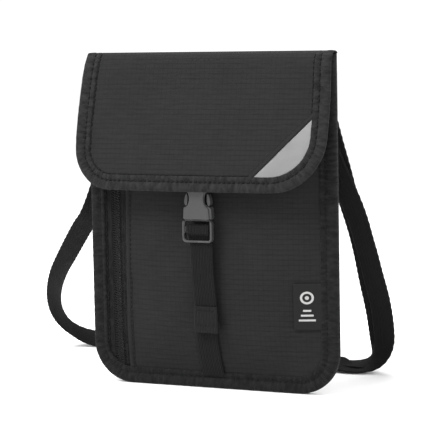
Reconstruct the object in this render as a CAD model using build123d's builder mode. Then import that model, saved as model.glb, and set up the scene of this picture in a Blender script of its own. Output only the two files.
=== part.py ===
from build123d import *
import os
from math import atan2, cos, radians, sin, tan

# Neck pouch wallet, in millimetres. X to the wearer's left, front towards -Y, Z up.
# The origin is on the lower bound edge, in the plane where the front is sewn to the back.

# ---- driving dimensions ----
WIDTH = 160.0            # over the bindings
HEIGHT = 200.0           # to the top of the folded flap
BODY_TOP = 195.0         # free upper edge of the pouch body
CORNER_R = 25.0          # outer radius of the lower corners
BIND_WIDTH = 10.0        # how far the binding covers the faces
BIND_THICK = 0.6
FOOT_HALF, CORNER_LIFT = 54.0, 0.3     # the straight lower run hangs a little below the corners
STACK_FRONT, STACK_BACK = -1.6, 2.4    # the sewn edge, without its binding
PANEL = 0.8              # front fabric with its backing
TAPE = 0.5
ZIP_X = (-65.5, -59.1)   # the coil fills the gap between the tapes
FOLD_X = -51.0           # folded edge of the front panel, beside the zip
STRAP_X = 1.0            # centre line of the front strap and buckle
WEBBING = (15.0, 1.3)    # width and thickness
FLAP_LOW = 119.0         # lower edge of the closed flap
FLAP_LAYERS = 1.4
HINGE = (3.4, 197.3)     # the fold that the flap turns on, y and z
BUCKLE_W = 20.0
SPLIT_Z = 103.0          # where the two halves of the buckle meet
CORD_R = 2.5             # a round solid with the webbing's section area
FLOOR_Z = 2.7

# Depth of the stuffed front: plan view (x, y), then side view (y, z).
FRONT_PLAN = [(-70, -1.6), (-51.5, -6.5), (-35, -12), (0, -14), (38, -12), (62, -7.5), (70, -1.6)]
FRONT_SIDE = [(-1.6, 10), (-7, 16.5), (-12, 35), (-14, 75), (-13.5, 120), (-11, 155), (-7, 184),
              (-7, 230)]
DIVIDER_PLAN = [(-63, -0.4), (-50, -3.2), (-43, -6.9), (56, -6.9), (66, -0.4)]
DIVIDER_SIDE = [(-0.4, 13.3), (-6.9, 32), (-6.9, 160), (-6.15, 183), (-6.15, 230)]
FLAP_PLAN = [(-90, -17.2), (-70, -21), (-45, -25.5), (-20, -28.5), (20, -28.5), (45, -25.5),
             (70, -21), (90, -17.2)]
FLAP_SIDE = [(-28.8, 90), (-28.6, 118), (-26.2, 128), (-22, 142), (-17.5, 156), (-13, 172),
             (-11.2, 183), (-10.4, 190.5), (-9, 196.4), (-4.5, 199.4), (2, 199.4), (3.4, 199)]

# Routes of the neck strap, start to end. Both start on the folded tabs behind the top corners.
STRAP_ROUTE = [
    (-67, 5.7, 178), (-67, 5.7, 165), (-71, 9.5, 147), (-80, 14, 124), (-94, 21, 100),
    (-113, 35.5, 81), (-134, 53, 59.5), (-150, 73, 40), (-157, 90, 24), (-155, 101.5, 12),
    (-146, 108.5, 4.8), (-128, 108, FLOOR_Z), (-104, 98, FLOOR_Z), (-78, 88, FLOOR_Z),
    (-48, 81, FLOOR_Z), (16, 76, FLOOR_Z), (52, 76, FLOOR_Z), (77, 75, 12), (82, 69, 32),
    (81, 58, 54), (80, 46, 76), (78, 34, 98), (76, 24, 122), (74.5, 14.5, 145),
    (63.5, 5.7, 163.5), (63.5, 5.7, 178),
]
RETURN_ROUTE = [
    (70.5, 5.7, 178), (70.5, 5.7, 165.5), (80, 17, 147), (82.5, 30, 123), (84, 41, 98),
    (86.5, 52, 75), (88, 65, 53), (88, 77, 31), (81, 84.5, 9), (62, 85, FLOOR_Z),
    (41, 83.5, FLOOR_Z), (20, 83.5, FLOOR_Z),
]


def write(builder, name):
    builder.part.label = name
    export_step(builder.part, f"parts/{name}.step")


def outline(inset, front, back, top=BODY_TOP, low=0.0, radius=CORNER_R, width=WIDTH):
    """A slab with round lower corners, inset from the pouch's outer edge."""
    with BuildPart() as slab:
        with BuildSketch(Plane.XZ.offset(-back)) as face:
            with Locations((0, (low + inset + top) / 2)):
                Rectangle(width - 2 * inset, top - low - inset)
            fillet(face.vertices().group_by(Axis.Y)[0], radius - inset)
        extrude(amount=back - front)
    return slab.part


def block(x, y, z):
    """A box from its three ranges."""
    with BuildPart() as box:
        with Locations(((x[0] + x[1]) / 2, (y[0] + y[1]) / 2, (z[0] + z[1]) / 2)):
            Box(x[1] - x[0], y[1] - y[0], z[1] - z[0])
    return box.part


def domed(plan, side, inset):
    """Everything behind a surface that is curved in plan and from the side, set in by inset."""
    with BuildPart() as dome:
        with BuildSketch(Plane.XY.offset(-20)):
            with BuildLine():
                Polyline(*plan, (plan[-1][0], 60), (plan[0][0], 60), close=True)
            make_face()
            if inset:
                offset(amount=-inset, kind=Kind.INTERSECTION)
        extrude(amount=300)
        with BuildSketch(Plane.YZ.offset(-120)):
            with BuildLine():
                Polyline(*side, (60, side[-1][1]), (60, side[0][1]), close=True)
            make_face()
            if inset:
                offset(amount=-inset, kind=Kind.INTERSECTION)
        extrude(amount=240, mode=Mode.INTERSECT)
    return dome.part


def front_skin(outer, inner, x_range):
    """A layer of the stuffed front between two depths, cut to a range of x."""
    with BuildPart() as skin:
        add(domed(FRONT_PLAN, FRONT_SIDE, outer))
        add(domed(FRONT_PLAN, FRONT_SIDE, inner), mode=Mode.SUBTRACT)
        add(outline(BIND_WIDTH + outer, -60, -0.4), mode=Mode.INTERSECT)
        add(block(x_range, (-70, 10), (-10, 230)), mode=Mode.INTERSECT)
    return skin.part


def edge_strip(front, back, x_range, reach=0.4):
    """The flat margin that goes into the binding, and reaches a little past it."""
    with BuildPart() as strip:
        add(outline(0.7, front, back))
        add(outline(BIND_WIDTH + reach, front - 1, back + 1, top=BODY_TOP + 5),
            mode=Mode.SUBTRACT)
        add(block(x_range, (-70, 10), (-10, 230)), mode=Mode.INTERSECT)
    return strip.part


def flap_skin(outer, inner, inset=0.0):
    """A layer of the flap between two depths, with round lower corners."""
    with BuildPart() as skin:
        add(domed(FLAP_PLAN, FLAP_SIDE, outer))
        add(domed(FLAP_PLAN, FLAP_SIDE, inner), mode=Mode.SUBTRACT)
        add(outline(inset, -60, HINGE[0], top=HEIGHT + 5, low=FLAP_LOW), mode=Mode.INTERSECT)
    return skin.part


def strip_solid(points, width, holes=()):
    """A flat strip seen from the side (y, z), centred on the front strap."""
    with BuildPart() as strip:
        with BuildSketch(Plane.YZ.offset(STRAP_X - width / 2)):
            with BuildLine():
                Polyline(*points, close=True)
            make_face()
            for hole in holes:
                with BuildLine():
                    Polyline(*hole, close=True)
                make_face(mode=Mode.SUBTRACT)
        extrude(amount=width)
    return strip.part


def corner_radii(points):
    radii = []
    for before, at, after in zip(points, points[1:], points[2:]):
        run_in, run_out = Vector(at) - Vector(before), Vector(after) - Vector(at)
        half_turn = radians(run_in.get_angle(run_out) / 2)
        radii.append(0.45 * min(run_in.length, run_out.length) / tan(half_turn))
    return radii


# ---- back of the pouch: four layers, edge to edge ----
BACK_LAYERS = {
    "back_lining": (0.0, 0.3),
    "rfid_shield": (0.3, 0.6),
    "foam_pad": (0.6, 1.8),
    "back_panel": (1.8, STACK_BACK),
}
for layer_name, (layer_front, layer_back) in BACK_LAYERS.items():
    with BuildPart() as layer:
        add(outline(0.7, layer_front, layer_back))
    write(layer, layer_name)

# ---- divider between the main compartment and the zip pocket ----
with BuildPart() as divider_margin:
    add(outline(0.7, -0.4, 0.0))
    with BuildSketch(Plane.XZ.offset(-5)) as divider_hole:
        with Locations((1.5, 114)):
            Rectangle(128.2, 200.6)
        fillet(divider_hole.vertices().group_by(Axis.Y)[0], 10)
    extrude(amount=10, mode=Mode.SUBTRACT)
with BuildPart() as pocket_divider:
    add(domed(DIVIDER_PLAN, DIVIDER_SIDE, 0))
    add(domed(DIVIDER_PLAN, DIVIDER_SIDE, 0.4), mode=Mode.SUBTRACT)
    add(outline(13.3, -60, 0.0), mode=Mode.INTERSECT)
    add(divider_margin.part)
write(pocket_divider, "pocket_divider")

# ---- front panel, zip tapes and coil ----
with BuildPart() as front_panel:
    add(front_skin(0, PANEL, (FOLD_X, 90)))
    add(edge_strip(STACK_FRONT, -0.4, (FOLD_X, 90)))
write(front_panel, "front_panel")

with BuildPart() as zipper_tape_left:
    add(front_skin(1.0, 1.0 + TAPE, (-90, ZIP_X[0])))
    add(edge_strip(-1.2, -0.4, (-90, ZIP_X[0]), reach=1.4))
write(zipper_tape_left, "zipper_tape_left")

with BuildPart() as zipper_tape_right:
    add(front_skin(1.0, 1.0 + TAPE, (ZIP_X[1], FOLD_X + 5)))
    add(edge_strip(-1.2, -0.4, (ZIP_X[1], FOLD_X - 0.2), reach=1.4))
write(zipper_tape_right, "zipper_tape_right")

with BuildPart() as zipper_coil:
    add(front_skin(0, 1.9, (ZIP_X[0] + 0.1, ZIP_X[1] - 0.1)))
    add(block((-90, 90), (-70, 10), (18, 193)), mode=Mode.INTERSECT)
write(zipper_coil, "zipper_coil")

# ---- bindings ----
with BuildPart() as mouth_binding:
    add(block((-42.5, 56.5), (-7.5, -5.3), (187, BODY_TOP + 0.5)))
    add(block((-60, 70), (-7.02, -5.73), (180, BODY_TOP + 0.02)), mode=Mode.SUBTRACT)
write(mouth_binding, "mouth_binding")

with BuildPart() as body_binding:
    add(outline(0, STACK_FRONT - BIND_THICK, STACK_BACK + BIND_THICK, low=CORNER_LIFT))
    add(block((-FOOT_HALF, FOOT_HALF), (STACK_FRONT - BIND_THICK, STACK_BACK + BIND_THICK),
              (0, 5)))
    add(outline(BIND_WIDTH, -5, 5, top=BODY_TOP + 5), mode=Mode.SUBTRACT)
    add(outline(0.65, STACK_FRONT - 0.02, STACK_BACK + 0.02, top=BODY_TOP + 5),
        mode=Mode.SUBTRACT)
write(body_binding, "body_binding")

# ---- woven label caught in the right binding ----
with BuildPart() as side_label:
    add(domed(FRONT_PLAN, FRONT_SIDE, -0.6))
    add(domed(FRONT_PLAN, FRONT_SIDE, -0.1), mode=Mode.SUBTRACT)
    add(block((55, 69.8), (-30, -1.5), (38.5, 66)), mode=Mode.INTERSECT)
write(side_label, "side_label")

# ---- flap: outer fabric, stiffener, lining, binding, corner patch ----
FLAP_DEPTHS = {
    "flap_panel": (0.0, 0.6),
    "flap_stiffener": (0.62, 1.0),
    "flap_lining": (1.02, FLAP_LAYERS),
}
for layer_name, (outer_depth, inner_depth) in FLAP_DEPTHS.items():
    with BuildPart() as flap_layer:
        add(flap_skin(outer_depth, inner_depth, inset=0.7))
    write(flap_layer, layer_name)

FLAP_INNER = outline(BIND_WIDTH, -60, 20, top=HEIGHT + 10, low=FLAP_LOW)
with BuildPart() as flap_binding:
    add(flap_skin(-BIND_THICK, FLAP_LAYERS + BIND_THICK))
    add(flap_skin(-0.02, FLAP_LAYERS + 0.02, inset=0.65), mode=Mode.SUBTRACT)
    add(FLAP_INNER, mode=Mode.SUBTRACT)
write(flap_binding, "flap_binding")

PATCH_HIGH, PATCH_LOW = (70.0, 161.0), (37.0, 128.0)   # ends of the patch's long edge
with BuildPart() as reflective_patch:
    add(flap_skin(-0.3, -0.03))
    with BuildSketch(Plane.XZ) as triangle:
        with BuildLine():
            Polyline(PATCH_HIGH, PATCH_LOW, (75, 120), close=True)
        make_face()
    extrude(amount=60, mode=Mode.INTERSECT)
    add(outline(BIND_WIDTH + 0.1, -60, 20, top=HEIGHT + 10, low=FLAP_LOW), mode=Mode.INTERSECT)
write(reflective_patch, "reflective_patch")

with BuildPart() as patch_piping:
    add(flap_skin(-0.7, -0.03))
    with BuildSketch(Plane.XZ) as band:
        with BuildLine():
            Polyline(PATCH_HIGH, PATCH_LOW, (35, 128), (70, 163.2), close=True)
        make_face()
    extrude(amount=60, mode=Mode.INTERSECT)
    add(outline(BIND_WIDTH + 0.1, -60, 20, top=HEIGHT + 10, low=FLAP_LOW), mode=Mode.INTERSECT)
write(patch_piping, "patch_piping")

# ---- front strap: standing leg on the pouch, wrap and free tail on the buckle ----
LEG_BACK = [(-2.5, 10.4), (-7.6, 16.8), (-12.5, 35), (-14.6, 60), (-16.8, 74), (-16.8, 99.6)]
LEG_FRONT = [(-18.1, 99.6), (-18.1, 74), (-15.9, 60), (-13.8, 34.6), (-8.8, 16.0), (-3.8, 10.2)]
with BuildPart() as front_strap:
    add(strip_solid(LEG_BACK + LEG_FRONT, WEBBING[0]))
write(front_strap, "front_strap")

TAIL = [(-18.5, 100), (-22.4, 100), (-22.4, 95.3), (-19.9, 91.6), (-19.9, 74), (-17.9, 60),
        (-16.9, 50), (-17.4, 49), (-16.4, 37), (-14.3, 37), (-15.4, 50), (-16.6, 60),
        (-18.6, 74), (-18.6, 92.4), (-21.1, 95.9), (-21.1, 98.7), (-18.5, 98.7)]
with BuildPart() as front_strap_tail:
    add(strip_solid(TAIL, WEBBING[0]))
write(front_strap_tail, "front_strap_tail")

TETHER = [(-22.4, 120.6), (-22.4, 127), (-21.4, 136), (-18.0, 148), (-15.6, 148), (-17.2, 136),
          (-17.2, 120.6)]
TETHER_EYE = [(-21.2, 121.8), (-21.2, 127), (-20.2, 133), (-18.4, 127), (-18.4, 121.8)]
with BuildPart() as buckle_tether:
    add(strip_solid(TETHER, WEBBING[0], holes=[TETHER_EYE]))
write(buckle_tether, "buckle_tether")

# ---- buckle: socket half, plug half with its ladder-lock frame, two prongs ----
SOCKET_Y = (-21.9, -17.1)
with BuildPart() as buckle_female:
    with BuildSketch(Plane.XZ.offset(15.5)) as socket_face:
        with Locations((STRAP_X, (SPLIT_Z + 125) / 2)):
            RectangleRounded(BUCKLE_W, 125 - SPLIT_Z, 1.5)
    extrude(amount=8)
    fillet(buckle_female.edges().filter_by(Axis.Z), 1.6)
    add(block((STRAP_X - 8.7, STRAP_X + 8.7), SOCKET_Y, (100, 116.5)), mode=Mode.SUBTRACT)
    add(block((-30, 30), SOCKET_Y, (106, 115)), mode=Mode.SUBTRACT)
    add(block((STRAP_X - 8.2, STRAP_X + 8.2), (-30, -10), (118.9, 122)), mode=Mode.SUBTRACT)
    for slab_y in ((-30, -21.0), (-18.6, -10)):
        add(block((STRAP_X - 8.2, STRAP_X + 8.2), slab_y, (118.9, 130)), mode=Mode.SUBTRACT)
write(buckle_female, "buckle_female")

with BuildPart() as buckle_male:
    with BuildSketch(Plane.XZ.offset(17.5)) as frame_face:
        with Locations((STRAP_X, 95.9)):
            RectangleRounded(BUCKLE_W, 13.8, 1.8)
        with Locations((STRAP_X, 93.55)):
            Rectangle(16.6, 5.1, mode=Mode.SUBTRACT)
        with Locations((STRAP_X, 99.45)):
            Rectangle(16.6, 3.6, mode=Mode.SUBTRACT)
    extrude(amount=4.5)
    with BuildSketch(Plane.XZ.offset(19.0)) as centre_bar:
        with Locations((STRAP_X, 97.35)):
            Rectangle(17.0, 2.5)
    extrude(amount=2.0)
    add(block((STRAP_X - 8.2, STRAP_X + 8.2), (-20.1, -17), (88, 91.6)), mode=Mode.SUBTRACT)
    for slab_y in ((-23, -21.0), (-19.0, -17)):
        add(block((STRAP_X - 8.2, STRAP_X + 8.2), slab_y, (94, 101.2)), mode=Mode.SUBTRACT)
    add(block((STRAP_X - 8.2, STRAP_X + 8.2), (-18.4, -17), (101, 103)), mode=Mode.SUBTRACT)
    add(block((STRAP_X - 2.4, STRAP_X + 2.4), (-20.9, -18.4), (102, 113)))
write(buckle_male, "buckle_male")

PRONG = [(4.0, 103.2), (5.6, 103.2), (6.2, 106.3), (8.5, 106.9), (8.3, 109.5), (6.6, 114),
         (5.0, 115.2), (4.2, 114.5), (4.6, 108)]
for prong_name, side_sign in (("buckle_prong_left", -1), ("buckle_prong_right", 1)):
    with BuildPart() as prong:
        with BuildSketch(Plane.XZ.offset(18.3)):
            with BuildLine():
                Polyline(*[(STRAP_X + side_sign * x, z) for x, z in PRONG], close=True)
            make_face()
        extrude(amount=3.2)
    write(prong, prong_name)

# ---- zip slider and pull, in the plane of the sloping zip ----
ZIP_SLOPE = atan2(FRONT_PLAN[1][1] - FRONT_PLAN[0][1], FRONT_PLAN[1][0] - FRONT_PLAN[0][0])
ZIP_MID = (ZIP_X[0] + ZIP_X[1]) / 2
ZIP_Y = FRONT_PLAN[0][1] + tan(ZIP_SLOPE) * (ZIP_MID - FRONT_PLAN[0][0])
ZIP_DIRECTION = (cos(ZIP_SLOPE), sin(ZIP_SLOPE), 0)
SLIDER_LOW, SLIDER_TOP = 168.0, 178.0
PULL_PIN = (-2.5, 176.0)            # outwards from the zip's face, and z


def zip_plane(height):
    return Plane(origin=(ZIP_MID, ZIP_Y, height), x_dir=ZIP_DIRECTION, z_dir=(0, 0, 1))


def zip_side_plane(across):
    """Looks along the zip's width: its x runs inwards through the zip, its y upwards."""
    start = (ZIP_MID + across * ZIP_DIRECTION[0], ZIP_Y + across * ZIP_DIRECTION[1], 0)
    return Plane(origin=start, x_dir=(-ZIP_DIRECTION[1], ZIP_DIRECTION[0], 0),
                 z_dir=ZIP_DIRECTION)


with BuildPart() as zipper_slider:
    with BuildSketch(zip_plane(SLIDER_LOW)):
        with Locations((0, -0.85)):
            Rectangle(8.6, 1.4)
        with Locations((0, 2.2)):
            Rectangle(4.4, 0.4)
    extrude(amount=SLIDER_TOP - SLIDER_LOW)
    with BuildSketch(zip_side_plane(-0.9)):
        with BuildLine():
            Polyline((-1.4, 169.5), (-3.0, 171.5), (-3.7, 175), (-3.7, 177), (-2.6, 177.8),
                     (-1.4, 177.8), close=True)
        make_face()
        with Locations((PULL_PIN[0], PULL_PIN[1])):
            Circle(0.85, mode=Mode.SUBTRACT)
    extrude(amount=1.8)
write(zipper_slider, "zipper_slider")

with BuildPart() as zipper_pull:
    with BuildSketch(zip_side_plane(-2.9)):
        with Locations((PULL_PIN[0], PULL_PIN[1])):
            Circle(0.75)
    extrude(amount=5.8)
    with BuildSketch(zip_side_plane(-2.9)):
        with Locations((PULL_PIN[0], PULL_PIN[1] - 12)):
            Rectangle(1.0, 24.0)
    extrude(amount=5.8)
    with BuildSketch(zip_side_plane(-1.3)):
        with Locations((PULL_PIN[0], PULL_PIN[1] - 3)):
            Rectangle(3.0, 9.6)
        with Locations((PULL_PIN[0], PULL_PIN[1])):
            Circle(0.75, mode=Mode.SUBTRACT)
    extrude(amount=2.6, mode=Mode.SUBTRACT)
write(zipper_pull, "zipper_pull")

# ---- neck strap: tabs, main run, return run, adjuster ----
for tab_name, tab_sign in (("strap_tab_left", -1), ("strap_tab_right", 1)):
    with BuildPart() as tab:
        with BuildSketch(Plane.XY.offset(178)):
            with BuildLine():
                Polyline(*[(tab_sign * x, y) for x, y in
                           ((59.5, 2.45), (69.9, 2.45), (69.9, 3.05), (74.5, 3.05), (74.5, 8.4),
                            (59.5, 8.4))], close=True)
            make_face()
        extrude(amount=14)
    write(tab, tab_name)

for cord_name, route in (("neck_strap", STRAP_ROUTE), ("neck_strap_return", RETURN_ROUTE)):
    with BuildPart() as cord:
        with BuildLine() as path:
            FilletPolyline(*route, radius=corner_radii(route))
        with BuildSketch(Plane(origin=path.line @ 0, z_dir=path.line % 0)):
            Circle(CORD_R)
        sweep()
    write(cord, cord_name)

ADJUSTER_X, ADJUSTER_Y = -17.0, 77.0
with BuildPart() as strap_adjuster:
    with BuildSketch(Plane.XY.offset(5.7)) as adjuster_face:
        with Locations((ADJUSTER_X, ADJUSTER_Y)):
            RectangleRounded(15.0, 21.0, 2.0)
        with Locations((ADJUSTER_X - 3.3, ADJUSTER_Y), (ADJUSTER_X + 3.3, ADJUSTER_Y)):
            Rectangle(3.8, 16.4, mode=Mode.SUBTRACT)
    extrude(amount=2.2)
    fillet(strap_adjuster.edges().group_by(Axis.Z)[-1], 0.5)
write(strap_adjuster, "strap_adjuster")
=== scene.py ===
import math
import bmesh
import bpy
import numpy as np
from mathutils import Matrix, Vector, geometry, noise


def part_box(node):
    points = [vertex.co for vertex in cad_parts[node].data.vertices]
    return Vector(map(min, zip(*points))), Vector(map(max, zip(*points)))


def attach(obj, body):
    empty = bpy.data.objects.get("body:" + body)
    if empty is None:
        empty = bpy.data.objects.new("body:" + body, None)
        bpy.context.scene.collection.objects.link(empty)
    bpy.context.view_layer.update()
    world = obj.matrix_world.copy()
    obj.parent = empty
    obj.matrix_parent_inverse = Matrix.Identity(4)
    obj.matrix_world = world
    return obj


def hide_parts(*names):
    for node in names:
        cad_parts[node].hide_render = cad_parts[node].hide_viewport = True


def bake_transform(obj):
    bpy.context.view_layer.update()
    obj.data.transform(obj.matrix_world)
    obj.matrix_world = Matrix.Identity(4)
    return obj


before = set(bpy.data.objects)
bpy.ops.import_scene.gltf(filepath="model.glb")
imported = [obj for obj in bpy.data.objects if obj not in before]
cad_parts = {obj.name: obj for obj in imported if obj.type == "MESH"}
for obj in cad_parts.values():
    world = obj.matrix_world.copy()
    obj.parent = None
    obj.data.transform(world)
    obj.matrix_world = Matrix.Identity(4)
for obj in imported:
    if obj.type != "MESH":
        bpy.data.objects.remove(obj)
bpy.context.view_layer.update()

# A neck pouch: sewn body, buckled flap, side zip, neck strap. Lengths are in millimetres until a
# mesh is made, and X, Y, Z are the frame's own: front towards -Y, Z up from the bottom edge.

MM = 0.001
scene = bpy.context.scene

# ---- sizes shared with the CAD parts, read from the frame ----
HALF_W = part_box("body_binding")[1].x / MM
TOP_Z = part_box("body_binding")[1].z / MM
BACK_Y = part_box("back_panel")[1].y / MM
STRAP_X = (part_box("front_strap")[0].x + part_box("front_strap")[1].x) / 2 / MM
WEB_WIDTH = (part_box("front_strap")[1].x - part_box("front_strap")[0].x) / MM
WEB_THICK = 1.25
FRONT_WEB = 14.2           # the front strap as drawn
CORNER_R = 25.0
BIND_WIDTH = 10.0
SEAM_INSET = 1.2           # how far the cloth stops inside the outer edge of its binding
FOLD_X = -51.0
COIL_X = (-65.5, -59.1)


# ---- camera and cords come first ----
def rolled_camera(azimuth, elevation, roll, distance, lens, aim):
    a, e, r = (math.radians(v) for v in (azimuth, elevation, roll))
    back = Vector((math.sin(a) * math.cos(e), -math.cos(a) * math.cos(e), math.sin(e)))
    level_right = Vector((0, 0, 1)).cross(back).normalized()
    level_up = back.cross(level_right)
    right = level_right * math.cos(r) + level_up * math.sin(r)
    up = back.cross(right)
    data = bpy.data.cameras.new("camera")
    data.lens, data.sensor_width = lens, 36.0
    data.clip_start, data.clip_end = 0.05, 20.0
    camera = bpy.data.objects.new("camera", data)
    scene.collection.objects.link(camera)
    turn = Matrix((right, up, back)).transposed().to_4x4()
    camera.matrix_world = Matrix.Translation(Vector(aim) + back * distance) @ turn
    scene.camera = camera
    return np.array(back)


TO_CAMERA = rolled_camera(azimuth=24.92, elevation=6.11, roll=-1.10, distance=1.1406, lens=155.5,
                          aim=(0.00787, 0, 0.09835))

# Route points of the neck strap in mm, each with the turn of the webbing about its own line:
# 0 shows its whole width to the front, and 90 shows its edge.
MAIN_ROUTE = [(-67, 5.7, 178, 0), (-67, 5.7, 165, 10), (-70.2, 9.5, 147, 0), (-78.4, 14, 124, -34),
              (-92.4, 21, 100, -42), (-103, 28, 90.6, -42), (-113.6, 36, 80, -43),
              (-125, 45, 68.5, -46), (-134.5, 53, 59, -50), (-144, 64, 48.5, -56),
              (-151.5, 75, 39, -61), (-156.5, 85, 30, -64), (-158.6, 94, 21.5, -68),
              (-157, 101, 14, -68), (-152, 106, 8.8, -62), (-145.5, 108, 6.2, -55),
              (-139, 108.5, 5, -50), (-126, 108, 4, -55), (-104, 98, 3, -72), (-80, 87, 2, -84),
              (-58, 79.6, 1.3, -84), (-42, 77.5, 1.3, -84), (-10, 77, 1.3, -84),
              (16, 76.6, 1.3, -84), (34, 75.8, 1.6, -84), (43, 75.4, 2.8, -70),
              (49.7, 75, 4.2, -56), (55.7, 73.6, 3.0, -66), (60.5, 73.4, 2.2, -75),
              (65.5, 74.5, 2.4, -77), (70.5, 76, 4.4, -70), (74.6, 76.6, 8.4, -57),
              (78.2, 75.6, 14.4, -46), (80.8, 72.6, 21.3, -42), (82.2, 68, 29.7, -41),
              (82.9, 63.5, 39, -42), (82.9, 59.2, 48, -42), (82.6, 55, 56, -42),
              (82.2, 50, 65, -44), (81.8, 44, 76.6, -46), (80.7, 38.3, 88, -46),
              (79.8, 33, 99, -46), (77.4, 27.3, 111, -44), (72.6, 20.5, 126, -38),
              (67.2, 12.5, 145, -30), (64.2, 6.2, 163.5, -20), (64, 5.7, 178, -20)]
RETURN_ROUTE = [(67.6, 7.9, 178, 20), (67.8, 8.2, 165.5, 20), (70.2, 15, 147, 32),
                (73.2, 23, 128, 40), (74.9, 30.2, 111, 45), (76.5, 36.2, 99, 45),
                (77.4, 41.8, 88, 45), (78, 47, 76.6, 45), (78, 53, 65, 43), (77.9, 57.9, 56, 42),
                (78.1, 62, 48, 42), (78.2, 66.6, 39, 41), (77.9, 71, 29.7, 40), (77, 75.4, 21, 41),
                (75.4, 78.6, 14.4, 46), (72.4, 80.2, 8.6, 57), (68, 80.6, 5.2, 71),
                (60, 80.2, 4.0, 79), (50, 80.0, 3.9, 80), (42, 79.6, 3.8, 84), (34, 79.2, 3.7, 84),
                (14, 78.6, 3.6, 84)]


def distances(points):
    """How far along a line each of its points is."""
    return np.r_[0, np.cumsum(np.linalg.norm(np.diff(points, axis=0), axis=1))]


def unit(vectors):
    return vectors / np.linalg.norm(vectors, axis=-1, keepdims=True)


def spline_points(route, step):
    """Evenly spaced points, in metres, on the smooth line along a route in millimetres."""
    data = bpy.data.curves.new("route", "CURVE")
    data.dimensions = "3D"
    data.resolution_u = 24
    spline = data.splines.new("NURBS")
    spline.points.add(len(route) - 1)
    for point, place in zip(spline.points, route):
        point.co = (*[v * MM for v in place[:3]], 1.0)
    spline.order_u = 3
    spline.use_endpoint_u = True
    holder = bpy.data.objects.new("route", data)
    mesh = bpy.data.meshes.new_from_object(holder)
    points = np.array([v.co for v in mesh.vertices])
    bpy.data.objects.remove(holder)
    bpy.data.meshes.remove(mesh)
    along = distances(points)
    even = np.linspace(0, along[-1], int(round(along[-1] / step)) + 1)
    return np.stack([np.interp(even, along, points[:, k]) for k in range(3)], 1), even


# ---- small maths ----
def soft_curve(points, blur, low=-260.0, high=420.0):
    """A smooth function through rough (x, y) points: straight pieces, blurred."""
    xs = np.arange(low, high, 0.5)
    ys = np.interp(xs, *np.array(points, float).T)
    kernel = np.exp(-0.5 * (np.arange(-4 * blur, 4 * blur + 0.5, 0.5) / blur) ** 2)
    padded = np.pad(ys, len(kernel) // 2, mode="edge")
    smooth = np.convolve(padded, kernel / kernel.sum(), mode="valid")[: len(xs)]
    return lambda x: np.interp(x, xs, smooth)


def fractal(points, scale, seed, octaves=3):
    """Smooth noise in about -1..1 at points (n, 3), with features of the given size."""
    shift = Vector((seed * 17.3, seed * 5.1, seed * 9.7))
    return np.array([noise.fractal(Vector(p) / scale + shift, 1.0, 2.0, octaves)
                     for p in np.asarray(points, float)])


def on_plane(x, z):
    return np.stack([x, np.zeros_like(x), z], -1)


def ramp(x, start, end):
    """From 0 to 1 with soft ends as x goes from start to end."""
    t = np.clip((np.asarray(x, float) - start) / (end - start), 0, 1)
    return t * t * (3 - 2 * t)


def edge_distance(x, z, low, radius=CORNER_R, half=HALF_W):
    """How far inside the outline with round lower corners a point is."""
    x, z = np.abs(np.asarray(x, float)), np.asarray(z, float) - low
    in_corner = (x > half - radius) & (z < radius)
    corner = radius - np.hypot(x - (half - radius), z - radius)
    return np.where(in_corner, corner, np.minimum(half - x, z))


# ---- the surfaces that cloth lies on ----
FRONT_PLAN = soft_curve([(-80, 1.5), (-71, 1.9), (-52, 6.2), (-34, 11.8), (0, 14), (38, 12.2),
                         (58, 8.3), (71, 1.9), (80, 1.5)], 4.0)
FRONT_SIDE = soft_curve([(0, 0), (9, 0.0), (17, 0.40), (34, 0.84), (75, 1.0), (120, 0.97),
                         (155, 0.78), (184, 0.46), (200, 0.44)], 4.0)
ZIP_DROP = 1.3


def front_depth(x, z):
    return 1.6 + (FRONT_PLAN(x) - 1.6) * FRONT_SIDE(z)


def front_chart(x, z):
    return np.stack([x, -front_depth(x, z), z], -1)


def zip_chart(x, z):
    drop = ZIP_DROP * ramp(x, -71, -66)
    return np.stack([x, -front_depth(x, z) + drop, z], -1)


BACK_BULGE = soft_curve([(0, 0), (9, 0), (30, 1), (400, 1)], 5.0)


def back_chart(x, z):
    puff = 1.5 * BACK_BULGE(edge_distance(x, z, 0)) * (1 - 0.6 * ramp(z, 120, 180))
    return np.stack([-x, BACK_Y + puff, z], -1)


# The flap from the fold at the back, over the top and down: (y, z) of its middle, and y of its
# left and right edges at the same distances.
FLAP_LINE = [(3.2, 197.6), (3.0, 198.9), (1.2, 199.5), (-3.2, 199.6), (-6.6, 197.9),
             (-8.4, 193.5), (-9.9, 186), (-12.2, 175), (-15.2, 163), (-18.9, 150),
             (-22.3, 138), (-25.0, 128), (-27.0, 119)]
LEFT_EDGE = [3.2, 3.0, 1.6, -0.6, -1.9, -4.9, -8.2, -11.8, -15.3, -18.3, -19.5, -20.0, -20.2]
RIGHT_EDGE = [3.2, 3.0, 1.2, -2.2, -5.4, -7.9, -8.5, -9.4, -11.6, -15.2, -18.0, -19.4, -20.2]
FLAP_LEFT_R, FLAP_RIGHT_R = 25.0, 33.0


def flap_lines():
    points = np.array(FLAP_LINE, float)
    along = distances(points)
    tables = (points[:, 0], points[:, 1], LEFT_EDGE, RIGHT_EDGE)
    return [soft_curve(list(zip(along, table)), 1.6) for table in tables] + [along[-1]]


FLAP_Y, FLAP_Z, FLAP_Y_LEFT, FLAP_Y_RIGHT, FLAP_LENGTH = flap_lines()
FLAP_S = np.linspace(0, FLAP_LENGTH, 400)


def s_of_z(z):
    """Distance down the flap to a height, on its front."""
    below = FLAP_S > 8
    return float(np.interp(-z, -FLAP_Z(FLAP_S[below]), FLAP_S[below]))


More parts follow.
